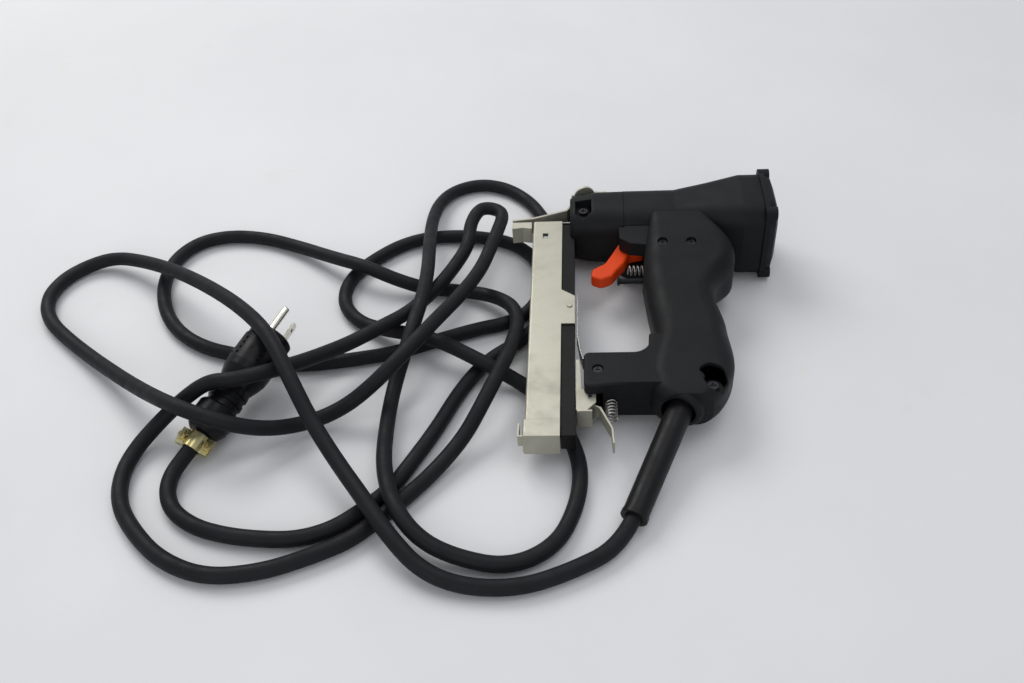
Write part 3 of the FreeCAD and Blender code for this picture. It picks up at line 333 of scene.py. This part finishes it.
FINISHES = {
    # The switch plunger takes the black moulding so that it reads as dark as the shade it lies in: painted
    # shade.
    BLACK: ["main_housing", "front_barrel", "end_cap", "handle_shell_upper", "handle_shell_lower",
            "switch_plunger"],
    NICKEL: ["nose_plate", "nose_guide", "magazine_sleeve", "magazine_end_cap", "magazine_rivets",
             "latch_bracket", "release_lever"],
    ZINC: ["staple_track", "pusher", "rail_screws"],
    RAIL: ["magazine_rail"],
    SCREW: ["end_cap_screws", "handle_screws", "nose_screws", "barrel_screws"],
    SPRING: ["return_spring", "trigger_spring", "pusher_spring", "latch_spring", "leaf_spring"],
    GROUND: ["solenoid_yoke", "yoke_plate", "plunger", "driver_blade", "trigger_pin", "lever_pin"],
    STAPLE: ["staple_strip"],
    PRONG: ["plug_blades", "ground_pin"],
    YELLOW: ["plug_clamp", "plug_clamp_screws"],
    ORANGE: ["trigger"],
    INNER: ["switch_body", "coil_bobbin", "cord_gland"],
    BOOT: ["strain_relief", "bumper"],
    PLUG: ["plug_body"],
    board(): ["control_board"],
    winding(): ["coil_winding"],
}

for material, names in FINISHES.items():
    for name in names:
        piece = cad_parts[name]
        for slot in piece.material_slots:
            slot.material = material


# The springs, each copied onto the tool body with a mesh of its own.

# The tool lies with its rear end a little higher, so its drive runs slightly uphill.
ALONG_X = (0.998, 0, 0.065)
ALONG_Y = (0, 1, 0)

# Which corner of a spring's box is held still.
LOW, HIGH = 0, 1

# Each spring's joint, the axis that it shortens along, its held corner, and the share left at the limit.
SPRINGS = {
    "trigger_spring": ("trigger_pull", ALONG_X, HIGH, 0.72),
    "return_spring": ("drive_stroke", ALONG_X, LOW, 0.46),
    "pusher_spring": ("pusher_slide", ALONG_Y, LOW, 0.14),
    "latch_spring": ("latch_press", ALONG_Y, HIGH, 0.52),
}

for node, (joint, axis, held, left) in SPRINGS.items():
    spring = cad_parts[node].copy()
    spring.name = node + "_coils"
    bpy.context.collection.objects.link(spring)
    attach(spring, "tool")
    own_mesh(spring)
    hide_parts(node)


# The power cord.

def smooth_line(name, points, radius):
    curve = bpy.data.curves.new(name, "CURVE")
    curve.dimensions = "3D"
    curve.bevel_depth = radius
    curve.bevel_resolution = CORD_ROUND_STEPS
    curve.resolution_u = CORD_LENGTH_STEPS
    curve.use_fill_caps = True
    spline = curve.splines.new("NURBS")
    spline.points.add(len(points) - 1)
    for point, place in zip(spline.points, points):
        point.co = (*place, 1)
    spline.order_u = 3
    spline.use_endpoint_u = True
    piece = bpy.data.objects.new(name, curve)
    bpy.context.collection.objects.link(piece)
    return piece


cord = smooth_line("cord", ROUTE, CORD_DIAMETER / 2)
cord.data.materials.append(RUBBER)
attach(cord, "tool")
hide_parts("power_cord")


# The table, the light and the camera.

def table_top():
    bpy.ops.mesh.primitive_plane_add(size=TABLE_SIZE, location=(0, 0, -TABLE_DROP))
    top = bpy.context.object
    top.name = "table_top"
    s = Shader("pale_table", 0.5, Specular_IOR_Level=TABLE_SPECULAR)
    cloud = s.ramp(s.noise(3.2, 6, 0.6), (0.35, 0.0), (0.7, 1.0))
    base = s.mix(cloud, (0.665, 0.665, 0.675), (0.705, 0.705, 0.715))
    stain = s.ramp(s.noise(15, 7, 0.72, distort=0.5), (0.62, 0.0), (0.76, 0.35))
    s.color(s.mix(stain, base, (0.66, 0.60, 0.50)))
    s.rough(s.ramp(s.noise(9, 5), (0.3, 0.42), (0.75, 0.60)))
    s.bump(s.noise(120, 4), 0.0003, 0.3, 0.0)
    top.data.materials.append(s.mat)


def area_light(name, place, aim, size, power, colour):
    light = bpy.data.lights.new(name, "AREA")
    light.shape = "RECTANGLE"
    light.size, light.size_y = size
    light.energy = power
    light.color = colour
    lamp = bpy.data.objects.new(name, light)
    lamp.location = place
    lamp.rotation_euler = (Vector(aim) - Vector(place)).to_track_quat("-Z", "Y").to_euler()
    bpy.context.collection.objects.link(lamp)


table_top()
world = bpy.data.worlds.new("soft_room")
world.use_nodes = True
background = world.node_tree.nodes["Background"]
background.inputs["Color"].default_value = WORLD_COLOUR
background.inputs["Strength"].default_value = WORLD_STRENGTH
bpy.context.scene.world = world
area_light("window", (-1.1, 1.3, 1.7), (-0.12, 0.05, 0), (1.5, 1.1), 27, (1.0, 0.98, 0.95))
area_light("ceiling", (0.35, 0.3, 2.0), (-0.1, 0, 0), (1.2, 1.2), 8, (0.95, 0.97, 1.0))
area_light("front", (-0.45, -1.6, 0.75), (-0.1, 0, 0), (1.4, 0.9), 5.5, (0.97, 0.98, 1.0))
bpy.context.scene.view_settings.view_transform = "Standard"

camera_data = bpy.data.cameras.new("camera")
camera_data.lens = CAMERA_LENS
camera_data.sensor_width = CAMERA_SENSOR
camera_data.clip_start = CAMERA_NEAREST
camera = bpy.data.objects.new("camera", camera_data)
camera.location = CAMERA_PLACE
camera.rotation_euler = Vector(CAMERA_LOOK).to_track_quat("-Z", "Y").to_euler()
bpy.context.collection.objects.link(camera)
bpy.context.scene.camera = camera
